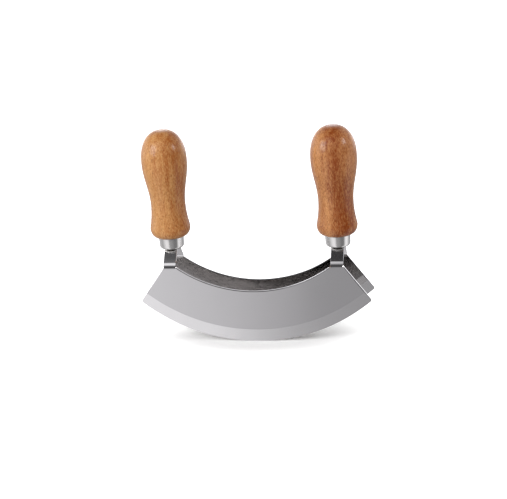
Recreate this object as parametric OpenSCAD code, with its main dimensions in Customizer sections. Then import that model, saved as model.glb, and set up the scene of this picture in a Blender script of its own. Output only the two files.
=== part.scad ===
// Twin-blade mezzaluna: two curved steel blades whose end tabs fold together
// and run up through a metal ferrule into a turned wooden handle at each end.
// The blades rock along X, the front blade faces -Y, and the cutting edges
// stand on Z = 0 at mid length.

/* [Blades] */
// Length of each blade from tip to tip
blade_w = 135; // [125:1:150]
// Height of the blade tips above the middle of the cutting edge
tip_rise = 24.7; // [21:0.1:28]
// Height of each blade at mid length
blade_h = 31.1; // [27:0.1:35]
// Spacing of the two cutting edges
blade_gap = 20; // [16:0.5:24]
// Thickness of the blade steel
steel_t = 1.5; // [1.2:0.1:1.8]
// Width of the ground bevel at mid length
bevel_w = 7.4; // [5:0.2:9]
// Width of the ground bevel at the blade tips
bevel_tip_w = 6.6; // [4.4:0.2:9]
// Thickness left along the cutting edge at mid length
edge_t = 0.12; // [0.08:0.02:0.3]
// Radius that takes the point off each blade tip
tip_r = 1.6; // [1:0.1:2.4]

/* [Tabs] */
// Distance between the two handle axes
grip_spacing = 97.6; // [92:0.2:102]
// Width of each folded tab
tab_w = 7.3; // [6:0.1:7.4]
// Height of the corners where the tabs leave the outline of the blade
shoulder_z = 46; // [44:0.5:50]
// How far below those corners the fold starts
fold_drop = 1.1; // [0:0.1:1.6]
// Fold of the tab away from the plane of the blade, in degrees
fold_angle = 41; // [37:1:48]
// Middle radius of the lower fold
lower_fold_r = 5; // [4:0.25:6]
// Middle radius of the upper fold
upper_fold_r = 2; // [1.6:0.1:2.6]
// Radius in the corner between a tab and the hollow top edge
notch_r = 1.4; // [0.8:0.1:2]
// Length of the tang above the upper fold
tang_len = 35; // [28:1:41]
// Width of the tang at its upper end
tang_tip_w = 4.4; // [3.5:0.1:6]

/* [Ferrules] */
// Outer diameter of the ferrule at its rim
ferrule_d = 14.8; // [14:0.1:16]
// Outer diameter of the ferrule above its rounded bottom
ferrule_low_d = 14.4; // [13.6:0.1:14.8]
// Height of the ferrule
ferrule_h = 7.2; // [6:0.2:9]
// Radius of the rounded bottom edge
ferrule_r = 1.9; // [1.2:0.1:2.4]
// Wall of the ferrule
ferrule_t = 0.8; // [0.5:0.1:1]
// How far the tabs run up inside the ferrule before they stand upright together
ferrule_sink = 3.05; // [2:0.05:3.6]
// Room between the tabs and the round mouth of the ferrule
mouth_room = 0.1; // [0.05:0.05:0.25]

/* [Handles] */
// Overall height of the tool
overall_h = 125; // [120:1:135]
// Largest diameter of the handle, at the palm swell
swell_d = 26.3; // [24:0.1:29]
// Distance from the top of the handle down to the palm swell
swell_drop = 18.3; // [16:0.1:21]
// Smallest diameter of the handle
waist_d = 20.1; // [18:0.1:22]
// Height of the waist above the ferrule
waist_up = 19.7; // [16:0.1:23]
// Diameter of the lip above the ferrule
lip_d = 23.4; // [21:0.1:25]
// Height of the lip above the ferrule
lip_up = 5.4; // [4:0.1:7]
// Diameter of the small flat left on top of the handle
crown_d = 8; // [4:0.5:10]
// How early the handle narrows above the lip, where 1 is an even curve
flare = 0.6; // [0.5:0.05:1]
// Room for adhesive between the tangs and the wall of the bored hole
bore_room = 0.3; // [0.15:0.05:0.8]
// Depth of the hole beyond the ends of the tangs
bore_spare = 1.5; // [0.5:0.5:4]

/* [Hidden] */

// Clearance between pieces that seat in one another
fit = 0.05;
// Facets of a drawn circle, and steps along each stretch of a curved outline
round_fn = 160;
curve_steps = 12;
// Overlap that keeps a cut or a joined stretch clear of its neighbour's face
lap = 1;

steel = [0.78, 0.79, 0.80];
polished = [0.72, 0.72, 0.73];
wood = [0.74, 0.49, 0.30];
resin = [0.85, 0.72, 0.42];

// Cutting edge: an arc through both tips and the origin's height
edge_r = (pow(blade_w / 2, 2) + pow(tip_rise, 2)) / (2 * tip_rise);
edge_centre = [0, edge_r];
// Sides of a tab, and the hollow top edge between the two tabs
tab_x = grip_spacing / 2;
tab_in = tab_x - tab_w / 2;
tab_out = tab_x + tab_w / 2;
hollow_rise = shoulder_z - blade_h;
hollow_r = (pow(tab_in, 2) + pow(hollow_rise, 2)) / (2 * hollow_rise);
hollow_z = blade_h + hollow_r;

// Rounded tip: its circle meets the cutting edge and the end line, which runs
// up to the corner of the tab, at the angle tip_meet
corner = [tab_out, shoulder_z];
tip_meet = 20;
tip_depth = tip_r * cos(tip_meet);
tip_x = blade_w / 2 - tip_r;
tip_centre = [tip_x, edge_r - sqrt(pow(edge_r - tip_depth, 2) - pow(tip_x, 2))];
tip_to_corner = corner - tip_centre;
end_turn = atan2(tip_to_corner[1], tip_to_corner[0]) - acos(tip_depth / norm(tip_to_corner));
end_way = [cos(end_turn), sin(end_turn)];
edge_way = (tip_centre - edge_centre) / (edge_r - tip_depth);
end_foot = tip_centre + tip_depth * end_way;

// Folded sheet: the middle of the steel moves in from the blade to the tang
blade_y = -blade_gap / 2;
tang_y = -steel_t / 2;
folds_r = lower_fold_r + upper_fold_r;
slope_len = (tang_y - blade_y - folds_r * (1 - cos(fold_angle))) / sin(fold_angle);
fold_rise = folds_r * sin(fold_angle) + slope_len * cos(fold_angle);
fold_z = shoulder_z - fold_drop;
tang_z = fold_z + fold_rise;
tang_top = tang_z + tang_len;

// Bevel: its upper border is an arc through both widths, and its face is a
// cone about the centre of that arc
tip_span = edge_r - tip_rise;
border_x = blade_w / 2 * (1 - bevel_tip_w / edge_r);
border_rise = tip_rise + tip_span * bevel_tip_w / edge_r - bevel_w;
border_r = (pow(border_x, 2) + pow(border_rise, 2)) / (2 * border_rise);
bevel_slope = (steel_t - edge_t) / 2 / bevel_w;

// Ferrule: the outer faces of both tabs pass its mouth while they still lean
ferrule_z = tang_z - ferrule_sink;
ferrule_top = ferrule_z + ferrule_h;
mouth_lean_y = upper_fold_r * (1 - cos(fold_angle))
    + (ferrule_sink - upper_fold_r * sin(fold_angle)) * tan(fold_angle);
mouth_y = mouth_lean_y + steel_t / 2 + steel_t / 2 / cos(fold_angle);
mouth_r = norm([tab_w / 2, mouth_y]) + mouth_room;

// Spigot of the handle ends above the upper fold, and the bore takes the tangs
spigot_r = ferrule_low_d / 2 - ferrule_t - fit;
spigot_z = tang_z + fit;
bore_r = norm([tab_w / 2, steel_t]) + bore_room;
bore_top = tang_top + bore_spare;

// Handle: heights are taken from the rim of the ferrule
handle_h = overall_h - ferrule_top;
handle_foot_r = ferrule_d / 2 + 0.25;
crown_power = 2.35;
lip_power = 2.1;

// Middle of the folded sheet as [y, z, lean]: blade, two folds and tang
function sheet_path() = concat(
    [[blade_y, -lap, 0]],
    [for (i = [0 : curve_steps]) let (lean = fold_angle * i / curve_steps)
        [blade_y + lower_fold_r * (1 - cos(lean)), fold_z + lower_fold_r * sin(lean), lean]],
    [for (i = [curve_steps : -1 : 0]) let (lean = fold_angle * i / curve_steps)
        [tang_y - upper_fold_r * (1 - cos(lean)), tang_z - upper_fold_r * sin(lean), lean]],
    [[tang_y, tang_top, 0]]
);

// A point of the path moved square to the sheet
function beside(point, distance) =
    [point[0] + distance * cos(point[2]), point[1] - distance * sin(point[2])];

// Side view of the folded sheet, drawn as [y, z]
module folded_sheet() {
    path = sheet_path();
    last = len(path) - 1;
    polygon(concat(
        [for (point = path) beside(point, -steel_t / 2)],
        [for (i = [last : -1 : 0]) beside(path[i], steel_t / 2)]
    ));
}

// Fillet between the inner side of the right tab and the hollow top edge
module tab_notch() {
    x = tab_in - notch_r;
    z = hollow_z - sqrt(pow(hollow_r - notch_r, 2) - pow(x, 2));
    touch = [x, z - hollow_z] * hollow_r / (hollow_r - notch_r) + [0, hollow_z];
    difference() {
        polygon([[x, z], touch, touch - [0, notch_r], [tab_in + notch_r, touch[1] - notch_r],
                 [tab_in + notch_r, z], [tab_in, z]]);
        translate([x, z]) circle(notch_r, $fn = round_fn);
        translate([0, hollow_z]) intersection() {
            circle(hollow_r, $fn = round_fn);
            translate([0, -hollow_r]) square([touch[0], hollow_r]);
        }
    }
}

// Front view of a tab and its tang, tapered above the upper fold
module tab_outline(clear = 0) {
    wide = tab_w / 2 + clear;
    narrow = tang_tip_w / 2 + clear;
    taper_z = tang_z + lap;
    translate([tab_x, 0]) polygon([
        [-wide, shoulder_z - lap], [wide, shoulder_z - lap], [wide, taper_z],
        [narrow, tang_top + clear], [-narrow, tang_top + clear], [-wide, taper_z]
    ]);
}

// What the rounding takes off the right tip
module tip_waste() {
    reach = 2 * tip_r;
    difference() {
        polygon([tip_centre, tip_centre + reach * edge_way,
                 tip_centre + reach * (edge_way + end_way), tip_centre + reach * end_way]);
        translate(tip_centre) circle(tip_r, $fn = round_fn);
    }
}

// Front view of a whole blade, drawn as [x, z]
module blade_outline() {
    beyond = corner + (shoulder_z + lap) / (shoulder_z - end_foot[1]) * (end_foot - corner);
    difference() {
        intersection() {
            translate(edge_centre) circle(edge_r, $fn = 2 * round_fn);
            polygon([[-corner[0], corner[1]], corner, beyond, [-beyond[0], beyond[1]]]);
        }
        translate([0, hollow_z]) circle(hollow_r, $fn = 2 * round_fn);
        for (side = [0, 1]) mirror([side, 0]) tip_waste();
    }
    for (side = [0, 1]) mirror([side, 0]) {
        tab_outline();
        tab_notch();
    }
}

// Everything outside the ground bevel on one face of the blade
module bevel_cut() {
    edge_far = border_r + bevel_w;
    translate([0, blade_y, edge_far]) rotate([90, 0, 0]) rotate_extrude($fn = 2 * round_fn)
        polygon([
            [border_r - lap, steel_t / 2 + lap * bevel_slope],
            [edge_far, edge_t / 2],
            [edge_far + lap, edge_t / 2],
            [edge_far + lap, steel_t / 2 + lap]
        ]);
}

module blade() {
    color(steel) difference() {
        intersection() {
            rotate([90, 0, 90]) linear_extrude(blade_w + 2 * lap, center = true) folded_sheet();
            rotate([90, 0, 0]) linear_extrude(blade_gap / 2 + steel_t) blade_outline();
        }
        bevel_cut();
        translate([0, 2 * blade_y, 0]) mirror([0, 1, 0]) bevel_cut();
    }
}

// Both tangs of one handle side by side, with clearance all round
module tang_pair(clear) {
    rotate([90, 0, 0]) linear_extrude(2 * (steel_t + clear), center = true)
        translate([-tab_x, 0]) tab_outline(clear);
}

// Spun cup whose rounded bottom is left open for the two tabs
module ferrule() {
    low_r = ferrule_low_d / 2;
    color(polished) difference() {
        rotate_extrude($fn = round_fn) {
            square([low_r - ferrule_r, ferrule_r]);
            translate([low_r - ferrule_r, ferrule_r]) intersection() {
                circle(ferrule_r, $fn = round_fn);
                translate([0, -ferrule_r]) square([ferrule_r, ferrule_r]);
            }
            polygon([[0, ferrule_r], [low_r, ferrule_r], [ferrule_d / 2, ferrule_h], [0, ferrule_h]]);
        }
        translate([0, 0, ferrule_t]) cylinder(h = ferrule_h, r = low_r - ferrule_t, $fn = round_fn);
        cylinder(h = 4 * ferrule_t, r = mouth_r, center = true, $fn = round_fn);
    }
}

// Blend from a to b with level ends, as f goes from 0 to 1
function ease(a, b, f) = a + (b - a) * (1 - cos(180 * f)) / 2;

// Half outline of the turned handle as [radius, height above the ferrule]
function handle_outline() =
    let (
        swell_up = handle_h - swell_drop,
        crown_end = acos(pow(crown_d / swell_d, crown_power / 2)),
        crown_h = swell_drop / pow(sin(crown_end), 2 / crown_power)
    )
    concat(
        [for (i = [0 : curve_steps]) let (a = 90 * i / curve_steps)
            [handle_foot_r + (lip_d / 2 - handle_foot_r) * pow(sin(a), 2 / lip_power),
             lip_up * (1 - pow(cos(a), 2 / lip_power))]],
        [for (i = [1 : curve_steps]) let (f = i / curve_steps)
            [ease(lip_d / 2, waist_d / 2, pow(f, flare)),
             lip_up + (waist_up - lip_up) * f]],
        [for (i = [1 : curve_steps]) let (f = i / curve_steps)
            [ease(waist_d / 2, swell_d / 2, f), waist_up + (swell_up - waist_up) * f]],
        [for (i = [1 : curve_steps]) let (a = crown_end * i / curve_steps)
            [swell_d / 2 * pow(cos(a), 2 / crown_power),
             swell_up + crown_h * pow(sin(a), 2 / crown_power)]]
    );

module handle() {
    outline = handle_outline();
    color(wood) difference() {
        union() {
            translate([0, 0, ferrule_top]) rotate_extrude($fn = round_fn)
                polygon(concat([[0, 0]], outline, [[0, handle_h]]));
            translate([0, 0, spigot_z])
                cylinder(h = ferrule_top - spigot_z + lap, r = spigot_r, $fn = round_fn);
        }
        translate([0, 0, spigot_z - lap])
            cylinder(h = bore_top - spigot_z + lap, r = bore_r, $fn = round_fn);
    }
}

// Cured adhesive that beds the tangs in the bored hole
module tang_adhesive() {
    color(resin) difference() {
        translate([0, 0, spigot_z])
            cylinder(h = bore_top - spigot_z - fit, r = bore_r - fit, $fn = round_fn);
        tang_pair(fit);
    }
}

blade();  // front_blade
mirror([0, 1, 0]) blade();  // rear_blade
translate([-tab_x, 0, ferrule_z]) ferrule();  // left_ferrule
translate([tab_x, 0, ferrule_z]) ferrule();  // right_ferrule
translate([-tab_x, 0, 0]) handle();  // left_handle
translate([tab_x, 0, 0]) handle();  // right_handle
translate([-tab_x, 0, 0]) tang_adhesive();  // left_tang_adhesive
translate([tab_x, 0, 0]) tang_adhesive();  // right_tang_adhesive
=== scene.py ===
from math import acos, asin, atan2, cos, hypot, pi, radians, sin, sqrt, tan
import bpy
import bmesh
from mathutils import Matrix, Vector


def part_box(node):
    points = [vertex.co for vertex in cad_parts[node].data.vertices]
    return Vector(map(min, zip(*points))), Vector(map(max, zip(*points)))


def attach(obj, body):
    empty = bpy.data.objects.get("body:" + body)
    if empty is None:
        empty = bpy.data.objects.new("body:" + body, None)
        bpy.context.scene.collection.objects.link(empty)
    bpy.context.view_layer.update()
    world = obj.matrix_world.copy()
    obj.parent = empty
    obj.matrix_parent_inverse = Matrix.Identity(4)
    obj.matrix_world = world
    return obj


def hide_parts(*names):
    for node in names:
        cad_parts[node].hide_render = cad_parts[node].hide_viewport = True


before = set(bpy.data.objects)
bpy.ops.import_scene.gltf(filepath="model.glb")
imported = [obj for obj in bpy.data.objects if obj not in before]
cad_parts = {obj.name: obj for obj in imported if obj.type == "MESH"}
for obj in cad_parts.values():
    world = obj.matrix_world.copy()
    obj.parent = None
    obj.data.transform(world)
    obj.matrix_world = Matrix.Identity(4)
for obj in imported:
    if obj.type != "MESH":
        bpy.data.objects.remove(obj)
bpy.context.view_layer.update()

scene = bpy.context.scene

# Camera
# A long lens looks down on the tool from a little to the right of the front
# blade. It is turned a few degrees about its own line of sight.
camera_azimuth = radians(11.398)
camera_elevation = radians(18.486)
camera_roll = radians(-4.307)
camera_distance = 0.729752
camera_target = Vector((-0.000587, 0, 0.052986))
camera_focal_px = 1260.635
picture_width_px = 507
sensor_width_mm = 36

towards_camera = Vector((
    sin(camera_azimuth) * cos(camera_elevation),
    -cos(camera_azimuth) * cos(camera_elevation),
    sin(camera_elevation),
))
level_right = Vector((cos(camera_azimuth), sin(camera_azimuth), 0))
level_up = towards_camera.cross(level_right)
camera_right = level_right * cos(camera_roll) + level_up * sin(camera_roll)
camera_up = level_up * cos(camera_roll) - level_right * sin(camera_roll)
camera_data = bpy.data.cameras.new("camera")
camera_data.sensor_width = sensor_width_mm
camera_data.lens = camera_focal_px * sensor_width_mm / picture_width_px
camera_data.clip_start = 0.01
camera_data.clip_end = 20
camera = bpy.data.objects.new("camera", camera_data)
camera_place = camera_target + towards_camera * camera_distance
camera_turn = Matrix((camera_right, camera_up, towards_camera)).transposed().to_4x4()
camera.matrix_world = Matrix.Translation(camera_place) @ camera_turn
scene.collection.objects.link(camera)
scene.camera = camera
scene.view_settings.view_transform = "Standard"

# Studio
# A white table in a soft-lit room. Polished metal sees bands of light and dark
# round it. A wide lamp stands in front on the left, a small one on the right.
table_reach = 6

table_mesh = bpy.data.meshes.new("table")
table_mesh.from_pydata(
    [(x * table_reach, y * table_reach, 0) for x, y in ((-1, -1), (1, -1), (1, 1), (-1, 1))],
    [], [(0, 1, 2, 3)],
)
table = bpy.data.objects.new("table", table_mesh)
scene.collection.objects.link(table)


def hex_colour(code):
    """A colour written as it looks on a screen, such as C08850, made linear."""
    shares = [int(code[i:i + 2], 16) / 255 for i in (0, 2, 4)]
    return [s / 12.92 if s < 0.04045 else ((s + 0.055) / 1.055) ** 2.4 for s in shares] + [1]


def new_material(name):
    """A material with nothing but its output node, and its node tree."""
    material = bpy.data.materials.new(name)
    material.use_nodes = True
    tree = material.node_tree
    tree.nodes.clear()
    return material, tree, tree.nodes.new("ShaderNodeOutputMaterial")


def add_node(tree, kind, values=None, **settings):
    """A node with its settings, and its inputs set to values or linked from sockets."""
    node = tree.nodes.new(kind)
    for name, setting in settings.items():
        setattr(node, name, setting)
    for name, value in (values or {}).items():
        if isinstance(value, bpy.types.NodeSocket):
            tree.links.new(value, node.inputs[name])
        else:
            node.inputs[name].default_value = value
    return node


def reckon(tree, operation, *values):
    """The output of one Math node."""
    node = add_node(tree, "ShaderNodeMath", dict(enumerate(values)), operation=operation)
    return node.outputs[0]


def blend_colours(tree, share, low, high):
    """Low and high mixed by share, which is a number or a socket."""
    node = add_node(tree, "ShaderNodeMix", data_type="RGBA")
    for index, value in ((0, share), (6, low), (7, high)):
        if isinstance(value, bpy.types.NodeSocket):
            tree.links.new(value, node.inputs[index])
        else:
            node.inputs[index].default_value = value
    return node.outputs[2]


# The camera sees the table white, with the shadow left on it close round the tool. Polished
# metal looks through it at the room.
table_colour = hex_colour("A8A8A8")
table_whitening = 1.06
shadow_oval = (0.45, 1, 1)
shadow_fades_from = 0.017
shadow_gone_by = 0.046
table_material, tree, output = new_material("white_table")
rays = tree.nodes.new("ShaderNodeLightPath")
seen = reckon(tree, "MAXIMUM", rays.outputs["Is Camera Ray"], rays.outputs["Is Transmission Ray"])
place = tree.nodes.new("ShaderNodeTexCoord").outputs["Object"]
oval = add_node(tree, "ShaderNodeMapping", {"Vector": place, "Scale": shadow_oval}).outputs[0]
away = add_node(tree, "ShaderNodeVectorMath", {0: oval}, operation="LENGTH").outputs["Value"]
far = add_node(tree, "ShaderNodeMapRange", {
    "Value": away, "From Min": shadow_fades_from, "From Max": shadow_gone_by},
    interpolation_type="SMOOTHSTEP").outputs[0]
matt = add_node(tree, "ShaderNodeBsdfDiffuse", {
    "Color": blend_colours(tree, seen, table_colour, (table_whitening,) * 3 + (1,))})
glow = add_node(tree, "ShaderNodeEmission", {
    "Color": (1, 1, 1, 1), "Strength": reckon(tree, "MULTIPLY", seen, far)})
both = add_node(tree, "ShaderNodeAddShader", {0: matt.outputs[0], 1: glow.outputs[0]})
clear = tree.nodes.new("ShaderNodeBsdfTransparent")
shown = add_node(tree, "ShaderNodeMixShader", {
    0: rays.outputs["Is Glossy Ray"], 1: both.outputs[0], 2: clear.outputs[0]})
tree.links.new(shown.outputs[0], output.inputs["Surface"])
table_mesh.materials.append(table_material)

# What polished metal sees at four heights, as (degrees round from the front, positive to the
# right; brightness against white).
table_ring = ((-180, 0.7), (-174, 1.0), (-173.4, 1.3), (-172.8, 0.3), (-171.5, 0.1),
              (-169.5, 0.12), (-168.2, 0.05), (-167, 0.4), (-166, 1.9), (-162, 1.6),
              (-155, 0.9), (-128, 0.8), (-78, 0.55), (-50, 1.07), (-34, 1.24), (-22, 1.18),
              (-16.5, 1.05), (-13, 0.88), (-11, 0.72), (-9.8, 0.66), (-8.6, 0.5), (-6, 0.5),
              (0, 0.44), (8, 0.43), (25, 0.36), (36, 0.27), (61, 0.27), (78, 1.25), (100, 1.25),
              (122, 0.5), (180, 0.7))
horizon_ring = ((-180, 3.0), (-150, 2.8), (-125, 1.1), (-100, 1.7), (-80, 1.7), (-60, 0.6),
                (-30, 0.24), (-16, 0.12), (15, 0.1), (60, 0.03), (76, 0.06), (95, 0.9),
                (125, 1.0), (150, 2.4), (180, 3.0))
skyline_ring = ((-180, 1.5), (-150, 1.4), (-125, 1.1), (-100, 1.7), (-80, 1.7), (-60, 0.6),
                (-30, 0.24), (-16, 0.12), (15, 0.1), (60, 0.03), (76, 0.06), (95, 0.9),
                (125, 1.0), (150, 1.0), (180, 1.5))
wall_ring = ((-180, 0.8), (-130, 0.8), (-100, 0.5), (-80, 0.12), (-60, 0.36), (-30, 1.3),
             (-14, 1.43), (-8, 0.71), (0, 0.48), (40, 0.24), (55, 0.06), (80, 0.06), (100, 0.5),
             (130, 0.8), (180, 0.8))
overhead = 0.07
# Between which elevations, in degrees, each height's light passes into the next one's
horizon_comes = (-12, -3)
skyline_comes = (5, 15)
wall_comes = (16, 36)
overhead_comes = (50, 61)
brightest = 4
cool_light = (0.955, 0.955, 1, 1)
# What lights unpolished surfaces instead, most of it from the front and the back
fill = 0.75

room = bpy.data.worlds.new("room")
room.use_nodes = True
scene.world = room
tree = room.node_tree
tree.nodes.clear()
output = tree.nodes.new("ShaderNodeOutputWorld")
rays = tree.nodes.new("ShaderNodeLightPath")
seen = reckon(tree, "MAXIMUM", rays.outputs["Is Camera Ray"], rays.outputs["Is Transmission Ray"])
way = add_node(tree, "ShaderNodeSeparateXYZ", {
    0: tree.nodes.new("ShaderNodeTexCoord").outputs["Generated"]})
turn = reckon(tree, "ARCTAN2", way.outputs["X"], reckon(tree, "MULTIPLY", way.outputs["Y"], -1))
turn = reckon(tree, "ADD", reckon(tree, "DIVIDE", turn, 2 * pi), 0.5)
rise = reckon(tree, "ARCSINE", way.outputs["Z"])


def ring(stops):
    """Brightness all round the room at one height, kept in the ramp as a share of the brightest."""
    ramp = add_node(tree, "ShaderNodeValToRGB", {"Fac": turn})
    elements = ramp.color_ramp.elements
    while len(elements) < len(stops):
        elements.new(0.5)
    for element, (degrees, brightness) in zip(elements, stops):
        element.position = degrees / 360 + 0.5
        element.color = (brightness / brightest,) * 3 + (1,)
    return reckon(tree, "MULTIPLY", ramp.outputs["Color"], brightest)


def step_up(lower, upper, between):
    """From lower to upper between two elevations in degrees."""
    share = add_node(tree, "ShaderNodeMapRange", {
        "Value": rise, "From Min": radians(between[0]), "From Max": radians(between[1])},
        interpolation_type="SMOOTHSTEP").outputs[0]
    change = reckon(tree, "SUBTRACT", upper, lower)
    return reckon(tree, "ADD", lower, reckon(tree, "MULTIPLY", share, change))


level = step_up(ring(table_ring), ring(horizon_ring), horizon_comes)
level = step_up(level, ring(skyline_ring), skyline_comes)
level = step_up(level, ring(wall_ring), wall_comes)
level = step_up(level, overhead, overhead_comes)
soft = reckon(tree, "MULTIPLY", reckon(tree, "ABSOLUTE", way.outputs["Y"]), 2 * fill)
level = reckon(tree, "ADD", level, reckon(
    tree, "MULTIPLY", rays.outputs["Is Diffuse Ray"], reckon(tree, "SUBTRACT", soft, level)))
strength = reckon(tree, "MAXIMUM", level, seen)
tone = blend_colours(tree, rays.outputs["Is Glossy Ray"], (1, 1, 1, 1), cool_light)
backdrop = add_node(tree, "ShaderNodeBackground", {"Color": tone, "Strength": strength})
tree.links.new(backdrop.outputs[0], output.inputs["Surface"])


tool_middle = Vector((0, 0, 0.06))


def soft_lamp(name, place, width, height, brightness):
    """A rectangular lamp that faces the middle of the tool. Its brightness is against white."""
    data = bpy.data.lights.new(name, "AREA")
    data.shape = "RECTANGLE"
    data.size = width
    data.size_y = height
    data.energy = brightness * pi * width * height
    lamp = bpy.data.objects.new(name, data)
    lamp.location = place
    lamp.rotation_euler = (Vector(place) - tool_middle).to_track_quat("Z", "Y").to_euler()
    scene.collection.objects.link(lamp)


soft_lamp("left_lamp", place=(-0.36, -0.34, 0.29), width=0.28, height=0.26, brightness=6.2)
soft_lamp("right_lamp", place=(0.41, -0.1, 0.3), width=0.1, height=0.11, brightness=12)

# Blades
# Two like blades of stainless sheet stand edge down, 20 mm apart. Each is cut
# to its outline, ground to an edge on both faces and folded at its two tabs,
# which run up into the handles as tangs. All cut edges are lightly eased.
front_low, front_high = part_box("front_blade")
ferrule_low, ferrule_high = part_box("right_ferrule")
steel_t = 0.0015
blade_y = front_low.y + steel_t / 2
tang_y = -steel_t / 2
tip_x = front_high.x
tip_rise = 0.0247
blade_h = 0.0311
bevel_w = 0.0074
bevel_tip_w = 0.0066
edge_t = 0.00012
tab_x = (ferrule_low.x + ferrule_high.x) / 2
tab_w = 0.0073
shoulder_z = 0.046
fold_drop = 0.0011
fold_lean = radians(41)
lower_fold_r = 0.005
upper_fold_r = 0.002
notch_r = 0.0014
tip_r = 0.0016
tip_meet = radians(20)
tang_top = front_high.z
tang_tip_w = 0.0044
taper_lead = 0.001
eased_w = 0.00038
tab_eased_w = 0.00008

folds_r = lower_fold_r + upper_fold_r
slope = (tang_y - blade_y - folds_r * (1 - cos(fold_lean))) / sin(fold_lean)
fold_z = shoulder_z - fold_drop
tang_z = fold_z + folds_r * sin(fold_lean) + slope * cos(fold_lean)
taper_z = tang_z + taper_lead
edge_r = (tip_x ** 2 + tip_rise ** 2) / (2 * tip_rise)
border_x = tip_x * (1 - bevel_tip_w / edge_r)
border_rise = tip_rise + (edge_r - tip_rise) * bevel_tip_w / edge_r - bevel_w
border_r = (border_x ** 2 + border_rise ** 2) / (2 * border_rise)
border_z = bevel_w + border_r
tab_in = tab_x - tab_w / 2
tab_out = tab_x + tab_w / 2
hollow_rise = shoulder_z - blade_h
hollow_r = (tab_in ** 2 + hollow_rise ** 2) / (2 * hollow_rise)
hollow_z = blade_h + hollow_r
notch_x = tab_in - notch_r
notch_z = hollow_z - sqrt((hollow_r - notch_r) ** 2 - notch_x ** 2)

# How finely the middle of the steel is divided, how far up each rib the bend's rows start, and
# which edges look sharp
hollow_steps = 44
notch_steps = 3
shoulder_steps = 10
tip_steps = 4
ground_rows = 3
face_rows = 5
bend_rows = 2
bend_share = 0.93
fold_steps = 14
slope_steps = 4
sharp_from = radians(30)


def top_border():
    """Upper edge of half a blade as (x, z), from mid length out to the shoulder."""
    touch = asin(notch_x / (hollow_r - notch_r))
    turns = [touch * i / hollow_steps for i in range(hollow_steps + 1)]
    points = [(hollow_r * sin(turn), hollow_z - hollow_r * cos(turn)) for turn in turns]
    start = touch - pi / 2
    end = asin((shoulder_z - notch_z) / notch_r)
    for i in range(1, notch_steps + 1):
        angle = start + (end - start) * i / notch_steps
        points.append((notch_x + notch_r * cos(angle), notch_z + notch_r * sin(angle)))
    first = points[-1][0]
    for i in range(1, shoulder_steps + 1):
        points.append((first + (tab_out - first) * i / shoulder_steps, shoulder_z))
    return points


def low_border(tops):
    """A point of the cutting edge or rounded tip for each point of the top border, as (x, z)."""
    tip_depth = tip_r * cos(tip_meet)
    centre_x = tip_x - tip_r
    centre_z = edge_r - sqrt((edge_r - tip_depth) ** 2 - centre_x ** 2)
    up = (tab_out - centre_x, shoulder_z - centre_z)
    start = atan2(centre_z - edge_r, centre_x) + tip_meet
    end = atan2(up[1], up[0]) - acos(tip_depth / hypot(*up)) - tip_meet
    turns = [start + (end - start) * i / tip_steps for i in range(tip_steps + 1)]
    tip = [(centre_x + tip_r * cos(turn), centre_z + tip_r * sin(turn)) for turn in turns]
    last = atan2(tip[0][0], edge_r - tip[0][1])
    leans = [atan2(x, edge_r - z) for x, z in tops[:-tip_steps]]
    leans = [last * lean / leans[-1] for lean in leans]
    return [(edge_r * sin(lean), edge_r - edge_r * cos(lean)) for lean in leans] + tip[1:]


def rib(low, top):
    """One line of points from the low border up to the top border, as (x, z)."""
    low = Vector(low)
    rise = Vector(top) - low
    from_centre = low - Vector((0, border_z))
    a = rise.dot(rise)
    b = 2 * rise.dot(from_centre)
    c = from_centre.dot(from_centre) - border_r ** 2
    crossing = (-b - sqrt(b * b - 4 * a * c)) / (2 * a)
    shares = [crossing * i / ground_rows for i in range(ground_rows + 1)]
    for start, end, rows in ((crossing, bend_share, face_rows), (bend_share, 1, bend_rows)):
        shares += [start + (end - start) * i / rows for i in range(1, rows + 1)]
    return [low + rise * share for share in shares]


def half_thickness(point):
    """Half the thickness of the steel at a point of the flat blade."""
    past_border = max(0, hypot(point[0], point[1] - border_z) - border_r)
    return steel_t / 2 - past_border * (steel_t - edge_t) / 2 / bevel_w


def fold_start(z):
    """Place across the blade and lean of the sheet at a height below the shoulder."""
    lean = asin(max(0, z - fold_z) / lower_fold_r)
    return blade_y + lower_fold_r * (1 - cos(lean)), lean


def fold_path():
    """Middle of the folded tab above the shoulder as (y, z, lean)."""
    first = asin(fold_drop / lower_fold_r)
    path = []
    for i in range(1, fold_steps + 1):
        lean = first + (fold_lean - first) * i / fold_steps
        path.append((
            blade_y + lower_fold_r * (1 - cos(lean)), fold_z + lower_fold_r * sin(lean), lean))
    upper = []
    for i in range(fold_steps):
        lean = fold_lean * (1 - i / fold_steps)
        upper.append((
            tang_y - upper_fold_r * (1 - cos(lean)), tang_z - upper_fold_r * sin(lean), lean))
    bottom, top = path[-1], upper[0]
    for i in range(1, slope_steps):
        path.append(tuple(a + (b - a) * i / slope_steps for a, b in zip(bottom, top)))
    return path + upper + [(tang_y, tang_z, 0), (tang_y, taper_z, 0), (tang_y, tang_top, 0)]


def tab_sides(z):
    """Inner and outer x of the right tab at a height."""
    if z < notch_z:
        return notch_x + sqrt(notch_r ** 2 - (z - notch_z) ** 2), tab_out
    if z > taper_z:
        return tab_x - tang_tip_w / 2, tab_x + tang_tip_w / 2
    return tab_in, tab_out


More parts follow.
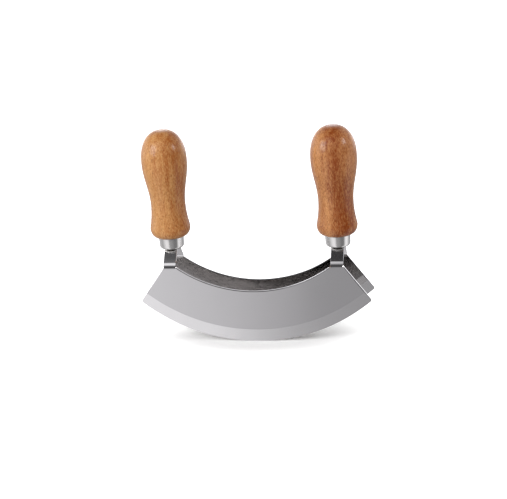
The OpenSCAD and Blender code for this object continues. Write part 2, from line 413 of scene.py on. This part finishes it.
def folded_sheet(facing):
    """Middle of one blade's steel. Gives its spots as (place, normal, half thickness), its quads as
    (four spots, whether ground), and the columns of spots of the flat blade."""
    tops = top_border()
    right = [(1, rib(low, top)) for low, top in zip(low_border(tops), tops)]
    ribs = [(-1, points) for turn, points in reversed(right[1:])] + right
    spots, quads, columns = [], [], []

    def add_spot(x, y, z, lean, half):
        """Keeps one spot and gives its number."""
        normal = Vector((0, facing * cos(lean), -sin(lean)))
        spots.append((Vector((x, facing * y, z)), normal, half))
        return len(spots) - 1

    for turn, points in ribs:
        columns.append([])
        for x, z in points:
            y, lean = fold_start(z)
            columns[-1].append(add_spot(turn * x, y, z, lean, half_thickness((x, z))))
    for left, right in zip(columns, columns[1:]):
        for j in range(len(left) - 1):
            quads.append(((left[j], right[j], right[j + 1], left[j + 1]), j < ground_rows))
    tab_columns = shoulder_steps + 1
    for turn, tab in ((-1, columns[:tab_columns]), (1, columns[-tab_columns:])):
        rows = [[column[-1] for column in tab]]
        for y, z, lean in fold_path():
            inner, outer = tab_sides(z)
            start, end = (-outer, -inner) if turn < 0 else (inner, outer)
            rows.append([
                add_spot(start + (end - start) * k / shoulder_steps, y, z, lean, steel_t / 2)
                for k in range(tab_columns)
            ])
        for low, high in zip(rows, rows[1:]):
            for k in range(shoulder_steps):
                quads.append(((low[k], low[k + 1], high[k + 1], high[k]), False))
    return spots, quads, columns


def sheet_rim(spots, quads):
    """Pairs of spots along the rim, and for each of those spots the ways out of the sheet."""
    used = {}
    for quad, ground in quads:
        centre = sum((spots[n][0] for n in quad), Vector()) / 4
        for k in range(4):
            used.setdefault(frozenset((quad[k], quad[(k + 1) % 4])), []).append(centre)
    rim, outward = [], {}
    for pair, centres in used.items():
        if len(centres) > 1:
            continue
        a, b = pair
        rim.append((a, b))
        way = (spots[b][0] - spots[a][0]).cross(spots[a][1] + spots[b][1]).normalized()
        if way.dot(centres[0] - spots[a][0]) > 0:
            way.negate()
        for n in (a, b):
            outward.setdefault(n, []).append(way)
    return rim, outward


def blade_mesh(name, facing):
    """One folded blade as a closed mesh. Facing is 1 for the front blade and -1 for the rear."""
    spots, quads, columns = folded_sheet(facing)
    rim, outward = sheet_rim(spots, quads)
    flat_spots = len(columns) * len(columns[0])
    edge_spots = {column[0] for column in columns}
    mesh = bmesh.new()
    faces, rims = [], []
    for n, (middle, normal, half) in enumerate(spots):
        cut = 0
        inward = Vector()
        if n in outward and n not in edge_spots:
            cut = (eased_w if n < flat_spots else tab_eased_w) * half / steel_t * 2
            first, second = outward[n]
            inward = -cut * (first + second) / (1 + first.dot(second))
        faces.append([
            mesh.verts.new(middle + inward + side * half * normal) for side in (-1, 1)])
        rims.append([
            mesh.verts.new(middle + side * (half - cut) * normal) for side in (-1, 1)
        ] if cut else faces[n])
    for quad, ground in quads:
        for side in (0, 1):
            mesh.faces.new([faces[n][side] for n in quad]).material_index = int(ground)
    for a, b in rim:
        for loop in (
            (faces[a][0], faces[b][0], rims[b][0], rims[a][0]),
            (rims[a][0], rims[b][0], rims[b][1], rims[a][1]),
            (rims[a][1], rims[b][1], faces[b][1], faces[a][1]),
        ):
            corners = list(dict.fromkeys(loop))
            if len(corners) > 2:
                face = mesh.faces.new(corners)
                face.material_index = int(a in edge_spots and b in edge_spots)
    bmesh.ops.recalc_face_normals(mesh, faces=mesh.faces)
    for face in mesh.faces:
        face.smooth = True
    for edge in mesh.edges:
        edge.smooth = edge.calc_face_angle() < sharp_from
    for left, right in zip(columns, columns[1:]):
        for side in (0, 1):
            border = (faces[left[ground_rows]][side], faces[right[ground_rows]][side])
            mesh.edges.get(border).smooth = False
    data = bpy.data.meshes.new(name)
    mesh.to_mesh(data)
    mesh.free()
    return data


streak_tone = 0.05
smear_tone = 0.08
smear_scale = 45
least_rough = 0.8
most_rough = 1.3
metal_relief = 0.00002


def steel_material(name, tint, roughness, streak_scale, streak_depth):
    """Stainless steel with faint lines from the belt that polished or ground it."""
    material, tree, output = new_material(name)
    place = tree.nodes.new("ShaderNodeTexCoord").outputs["Object"]
    along = add_node(tree, "ShaderNodeMapping", {"Vector": place, "Scale": streak_scale})
    lines = add_node(tree, "ShaderNodeTexNoise", {
        "Vector": along.outputs[0], "Scale": 1, "Detail": 3, "Roughness": 0.6})
    smears = add_node(tree, "ShaderNodeTexNoise", {
        "Vector": place, "Scale": smear_scale, "Detail": 3, "Roughness": 0.5})
    rough = add_node(tree, "ShaderNodeMapRange", {
        "Value": smears.outputs[0], "From Min": 0.3, "From Max": 0.7,
        "To Min": roughness * least_rough, "To Max": roughness * most_rough})
    share = reckon(tree, "ADD", reckon(tree, "MULTIPLY", lines.outputs[0], streak_tone),
                   reckon(tree, "MULTIPLY", smears.outputs[0], smear_tone))
    shade = blend_colours(tree, share, tint, (0.3, 0.3, 0.3, 1))
    bump = add_node(tree, "ShaderNodeBump", {
        "Height": lines.outputs[0], "Strength": streak_depth, "Distance": metal_relief})
    shader = add_node(tree, "ShaderNodeBsdfPrincipled", {
        "Base Color": shade, "Metallic": 1.0, "Roughness": rough.outputs[0],
        "Normal": bump.outputs[0]})
    tree.links.new(shader.outputs[0], output.inputs["Surface"])
    return material


sheet_steel = steel_material(
    "polished_sheet_steel", tint=(0.58, 0.567, 0.559, 1), roughness=0.08,
    streak_scale=(60, 60, 2500), streak_depth=0)
ground_steel = steel_material(
    "ground_bevel_steel", tint=(0.70, 0.685, 0.672, 1), roughness=0.16,
    streak_scale=(2500, 60, 60), streak_depth=0.08)
for name, facing in (("front_blade", 1), ("rear_blade", -1)):
    blade = bpy.data.objects.new(name + "_steel", blade_mesh(name, facing))
    scene.collection.objects.link(blade)
    blade.data.materials.append(sheet_steel)
    blade.data.materials.append(ground_steel)
    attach(blade, "root")
    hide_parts(name)

# Ferrules
# A cup spun from thin bright metal closes the foot of each handle. Its rounded
# bottom has a round mouth for the two tabs, and its rim bears on the wood.
cup_low_r = 0.0072
cup_corner_r = 0.0019
cup_wall = 0.0008
cup_lip_r = 0.00025
mouth_room = 0.0001
mouth_depth = tang_z - ferrule_low.z
mouth_lean_y = (upper_fold_r * (1 - cos(fold_lean))
                + (mouth_depth - upper_fold_r * sin(fold_lean)) * tan(fold_lean))
mouth_y = mouth_lean_y + steel_t / 2 + steel_t / 2 / cos(fold_lean)
mouth_r = hypot(tab_w / 2, mouth_y) + mouth_room
corner_steps = 10
lip_steps = 4
turned_sides = 128
cup_sharp_from = radians(35)


def cup_outline(rim_r, height):
    """Outline of the metal as (radius, height), from the mouth out, up, over and back inside."""
    first = asin(max(0, mouth_r - cup_low_r + cup_corner_r) / cup_corner_r)
    points = []
    for i in range(corner_steps + 1):
        a = first + (pi / 2 - first) * i / corner_steps
        points.append((cup_low_r - cup_corner_r * (1 - sin(a)), cup_corner_r * (1 - cos(a))))
    for i in range(lip_steps + 1):
        a = pi / 2 * i / lip_steps
        points.append((
            rim_r - cup_lip_r + cup_lip_r * cos(a), height - cup_lip_r * (1 - sin(a))))
    inner = cup_low_r - cup_wall
    return points + [(inner, height), (inner, cup_wall), (mouth_r, cup_wall)]


def ferrule_mesh(name, centre_x, base_z, outline):
    """A closed cup, with a UV map that runs round and up it."""
    count = len(outline)
    mesh = bmesh.new()
    uv = mesh.loops.layers.uv.new("around")
    turns = [2 * pi * i / turned_sides for i in range(turned_sides)]
    rings = [
        [mesh.verts.new((centre_x + r * cos(turn), r * sin(turn), base_z + z)) for turn in turns]
        for r, z in outline
    ]
    for j in range(count):
        low, high = rings[j], rings[(j + 1) % count]
        for i in range(turned_sides):
            k = (i + 1) % turned_sides
            face = mesh.faces.new((low[i], low[k], high[k], high[i]))
            face.smooth = True
            for loop, (u, v) in zip(face.loops, ((i, j), (i + 1, j), (i + 1, j + 1), (i, j + 1))):
                loop[uv].uv = (u / turned_sides, v / count)
    bmesh.ops.recalc_face_normals(mesh, faces=mesh.faces)
    for edge in mesh.edges:
        if edge.calc_face_angle() > cup_sharp_from:
            edge.smooth = False
    data = bpy.data.meshes.new(name)
    mesh.to_mesh(data)
    mesh.free()
    return data


ferrule_metal, tree, output = new_material("spun_ferrule_metal")
place = tree.nodes.new("ShaderNodeTexCoord").outputs["Object"]
turned = add_node(tree, "ShaderNodeMapping", {"Vector": place, "Scale": (80, 80, 6000)})
marks = add_node(tree, "ShaderNodeTexNoise", {"Vector": turned.outputs[0], "Scale": 1, "Detail": 2})
bump = add_node(tree, "ShaderNodeBump", {
    "Height": marks.outputs[0], "Strength": 0.06, "Distance": metal_relief})
rough = add_node(tree, "ShaderNodeMapRange", {
    "Value": marks.outputs[0], "From Min": 0.3, "From Max": 0.7, "To Min": 0.12, "To Max": 0.18})
tangent = add_node(tree, "ShaderNodeTangent", direction_type="UV_MAP", uv_map="around")
shader = add_node(tree, "ShaderNodeBsdfPrincipled", {
    "Base Color": (0.67, 0.655, 0.626, 1), "Metallic": 1.0, "Roughness": rough.outputs[0],
    "Anisotropic": 0.5, "Tangent": tangent.outputs[0], "Normal": bump.outputs[0]})
tree.links.new(shader.outputs[0], output.inputs["Surface"])
for side in ("left", "right"):
    low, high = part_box(side + "_ferrule")
    cup = cup_outline((high.x - low.x) / 2, high.z - low.z)
    data = ferrule_mesh(side + "_ferrule", (low.x + high.x) / 2, low.z, cup)
    ferrule = bpy.data.objects.new(side + "_ferrule_cup", data)
    scene.collection.objects.link(ferrule)
    data.materials.append(ferrule_metal)
    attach(ferrule, "root")
    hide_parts(side + "_ferrule")

# Handles
# Each handle is turned from one piece of orange-brown hardwood: a rounded lip
# over the ferrule, a waist, and a palm swell with a small flat on top. A short
# spigot fills the ferrule, and a bored hole takes the tangs. Satin varnish.
handle_low, handle_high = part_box("right_handle")
swell_r = (handle_high.x - handle_low.x) / 2
swell_drop = 0.0183
waist_r = 0.01005
waist_up = 0.0197
lip_r = 0.0117
lip_up = 0.0054
foot_stand = 0.00025
crown_r = 0.004
crown_power = 2.35
lip_power = 2.1
flare = 0.6
fit = 0.00005
bore_room = 0.0003
bore_spare = 0.0015
foot_r = (ferrule_high.x - ferrule_low.x) / 2 + foot_stand
foot_z = ferrule_high.z
spigot_r = cup_low_r - cup_wall - fit
bore_r = hypot(tab_w / 2, steel_t) + bore_room
bore_top = tang_top + bore_spare
curve_steps = 24


def ease(low, high, share):
    """From low to high with level ends."""
    return low + (high - low) * (1 - cos(pi * share)) / 2


def handle_outline():
    """Outline of the wood as (radius, z), from the top of the bore out and round to the crown."""
    points = [(0, bore_top), (bore_r, bore_top), (bore_r, handle_low.z),
              (spigot_r, handle_low.z), (spigot_r, foot_z)]
    for i in range(curve_steps + 1):
        a = radians(90) * i / curve_steps
        points.append((
            foot_r + (lip_r - foot_r) * sin(a) ** (2 / lip_power),
            foot_z + lip_up * (1 - max(cos(a), 0) ** (2 / lip_power))))
    waist_z = foot_z + waist_up
    swell_z = handle_high.z - swell_drop
    for i in range(1, curve_steps + 1):
        f = i / curve_steps
        points.append((
            ease(lip_r, waist_r, f ** flare), foot_z + lip_up + (waist_up - lip_up) * f))
    for i in range(1, curve_steps + 1):
        f = i / curve_steps
        points.append((ease(waist_r, swell_r, f), waist_z + (swell_z - waist_z) * f))
    last = acos((crown_r / swell_r) ** (crown_power / 2))
    crown_h = swell_drop / sin(last) ** (2 / crown_power)
    for i in range(1, curve_steps + 1):
        a = last * i / curve_steps
        points.append((
            swell_r * cos(a) ** (2 / crown_power), swell_z + crown_h * sin(a) ** (2 / crown_power)))
    return points + [(0, handle_high.z)]


pole_r = 1e-7
merge_gap = 2e-6


def lathe_tree():
    """Turns an outline, drawn as (radius, -height), about the upright axis through a seat."""
    tree = bpy.data.node_groups.new("lathe", "GeometryNodeTree")
    for name, kind in (
        ("Outline", "Geometry"), ("Sides", "Int"), ("Seat", "Vector"), ("Finish", "Material"),
    ):
        tree.interface.new_socket(name, in_out="INPUT", socket_type="NodeSocket" + kind)
    tree.interface.new_socket("Turned", in_out="OUTPUT", socket_type="NodeSocketGeometry")
    given = tree.nodes.new("NodeGroupInput").outputs
    curve = add_node(tree, "GeometryNodeMeshToCurve", {"Mesh": given["Outline"]})
    round_path = add_node(tree, "GeometryNodeCurvePrimitiveCircle", {
        "Resolution": given["Sides"], "Radius": pole_r})
    swept = add_node(tree, "GeometryNodeCurveToMesh", {
        "Curve": round_path.outputs["Curve"], "Profile Curve": curve.outputs["Curve"]})
    closed = add_node(tree, "GeometryNodeMergeByDistance", {
        "Geometry": swept.outputs["Mesh"], "Distance": merge_gap})
    seated = add_node(tree, "GeometryNodeTransform", {
        "Geometry": closed.outputs["Geometry"], "Translation": given["Seat"]})
    smooth = add_node(tree, "GeometryNodeSetShadeSmooth", {"Geometry": seated.outputs["Geometry"]})
    real = add_node(tree, "GeometryNodeRealizeInstances", {"Geometry": smooth.outputs["Geometry"]})
    done = add_node(tree, "GeometryNodeSetMaterial", {
        "Geometry": real.outputs["Geometry"], "Material": given["Finish"]})
    add_node(tree, "NodeGroupOutput", {"Turned": done.outputs["Geometry"]})
    return tree


def settle(piece):
    """Turns what a piece's modifiers make into its plain mesh."""
    graph = bpy.context.evaluated_depsgraph_get()
    data = bpy.data.meshes.new_from_object(piece.evaluated_get(graph), depsgraph=graph)
    piece.modifiers.clear()
    piece.data = data


band_reach = 0.016
wander_depth = 0.009
vein_depth = 0.9
fleck_depth = 0.52
fleck_height = 0.4
pore_depth = 0.6
pore_shade = 0.5
wood_relief = 0.00008


def wood_material(name, offset, lean, growth, pale, deep):
    """Varnished hardwood. Growth gives (millimetres across, depth of colour) for its bands,
    which lean a little."""
    material, tree, output = new_material(name)
    place = add_node(tree, "ShaderNodeMapping", {
        "Vector": tree.nodes.new("ShaderNodeTexCoord").outputs["Object"], "Location": offset})

    def noise(scale, detail, roughness=0.5, distortion=0):
        """Noise drawn out along the grain."""
        drawn = add_node(tree, "ShaderNodeMapping", {"Vector": place.outputs[0], "Scale": scale})
        return add_node(tree, "ShaderNodeTexNoise", {
            "Vector": drawn.outputs[0], "Scale": 1, "Detail": detail, "Roughness": roughness,
            "Distortion": distortion}).outputs[0]

    def swing(value, depth):
        """A value from 0 to 1 made to swing either side of nothing."""
        return reckon(tree, "MULTIPLY", reckon(tree, "SUBTRACT", value, 0.5), depth)

    def stretch(value, low, high):
        """The part of a value between low and high, as 0 to 1."""
        return add_node(tree, "ShaderNodeMapRange", {
            "Value": value, "From Min": low, "From Max": high}).outputs[0]

    parts = add_node(tree, "ShaderNodeSeparateXYZ", {0: place.outputs[0]}).outputs
    across = reckon(tree, "ADD", parts["X"], reckon(tree, "MULTIPLY", parts["Z"], lean))
    across = reckon(tree, "ADD", across, swing(noise((60, 60, 22), detail=2), wander_depth))
    ramp = add_node(tree, "ShaderNodeValToRGB", {
        "Fac": stretch(across, -band_reach, band_reach)})
    ramp.color_ramp.interpolation = "B_SPLINE"
    while len(ramp.color_ramp.elements) < len(growth):
        ramp.color_ramp.elements.new(0.5)
    for element, (millimetres, depth) in zip(ramp.color_ramp.elements, growth):
        element.position = millimetres / 1000 / (2 * band_reach) + 0.5
        element.color = (depth, depth, depth, 1)
    flecks = stretch(noise((1500, 1500, 560), detail=3, roughness=0.65), low=0.34, high=0.66)
    pores = stretch(noise((2300, 2300, 900), detail=2), low=0.6, high=0.67)
    veins = swing(noise((380, 380, 20), detail=2, distortion=0.3), vein_depth)
    depth = reckon(tree, "ADD", ramp.outputs["Color"], veins)
    depth = reckon(tree, "ADD", depth, swing(flecks, fleck_depth))
    colour = blend_colours(tree, stretch(depth, 0, 1), pale, deep)
    dark = [channel * pore_shade for channel in deep[:3]] + [1]
    colour = blend_colours(tree, reckon(tree, "MULTIPLY", pores, pore_depth), colour, dark)
    height = reckon(tree, "SUBTRACT", reckon(tree, "MULTIPLY", flecks, fleck_height), pores)
    bump = add_node(tree, "ShaderNodeBump", {
        "Height": height, "Strength": 0.3, "Distance": wood_relief})
    rough = add_node(tree, "ShaderNodeMapRange", {
        "Value": flecks, "To Min": 0.5, "To Max": 0.6})
    shader = add_node(tree, "ShaderNodeBsdfPrincipled", {
        "Base Color": colour, "Roughness": rough.outputs[0], "Specular IOR Level": 0.05,
        "Normal": bump.outputs[0], "Coat Weight": 0.65, "Coat Roughness": 0.2,
        "Coat Normal": bump.outputs[0]})
    tree.links.new(shader.outputs[0], output.inputs["Surface"])
    return material


lathe = lathe_tree()
left_growth = (
    (-14, 0.64), (-9, 0.47), (-6, 0.4), (-2, 0.58), (3, 0.64), (7, 0.68), (10, 0.95), (12, 0.8),
    (14, 0.6))
right_growth = (
    (-14, 0.6), (-9, 0.52), (-6, 0.28), (-4, 0.42), (-1, 0.7), (3, 0.88), (6, 0.82), (9, 0.6),
    (14, 0.38))
woods = {
    "left": wood_material(
        "left_handle_wood", offset=(tab_x, 0.02, -0.095), lean=0.05, growth=left_growth,
        pale=hex_colour("DEAA6E"), deep=hex_colour("9F5A25")),
    "right": wood_material(
        "right_handle_wood", offset=(-tab_x, 0.07, -0.095), lean=0.09, growth=right_growth,
        pale=hex_colour("D89A62"), deep=hex_colour("863E10")),
}
outline = list(reversed(handle_outline()))
for side in ("left", "right"):
    low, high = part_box(side + "_handle")
    data = bpy.data.meshes.new(side + "_handle_outline")
    data.from_pydata(
        [(r, -z, 0) for r, z in outline], [(i, i + 1) for i in range(len(outline) - 1)], [])
    handle = bpy.data.objects.new(side + "_handle_wood", data)
    scene.collection.objects.link(handle)
    turning = handle.modifiers.new("turning", "NODES")
    turning.node_group = lathe
    sockets = {item.name: item.identifier for item in lathe.interface.items_tree}
    turning[sockets["Sides"]] = turned_sides
    turning[sockets["Seat"]] = ((low.x + high.x) / 2, 0, 0)
    turning[sockets["Finish"]] = woods[side]
    settle(handle)
    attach(handle, "root")
    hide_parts(side + "_handle")

# Adhesive
# Amber adhesive poured into each bored hole beds the two tangs. It is out of
# sight, between the steel and the wood.
adhesive, tree, output = new_material("amber_adhesive")
place = tree.nodes.new("ShaderNodeTexCoord").outputs["Object"]
clouds = add_node(tree, "ShaderNodeTexNoise", {"Vector": place, "Scale": 400, "Detail": 3})
colour = blend_colours(tree, clouds.outputs[0], hex_colour("C79A4C"), hex_colour("E2BE78"))
shader = add_node(tree, "ShaderNodeBsdfPrincipled", {"Base Color": colour, "Roughness": 0.3})
tree.links.new(shader.outputs[0], output.inputs["Surface"])
for side in ("left", "right"):
    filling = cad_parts[side + "_tang_adhesive"]
    if filling.material_slots:
        filling.material_slots[0].material = adhesive
    else:
        filling.data.materials.append(adhesive)
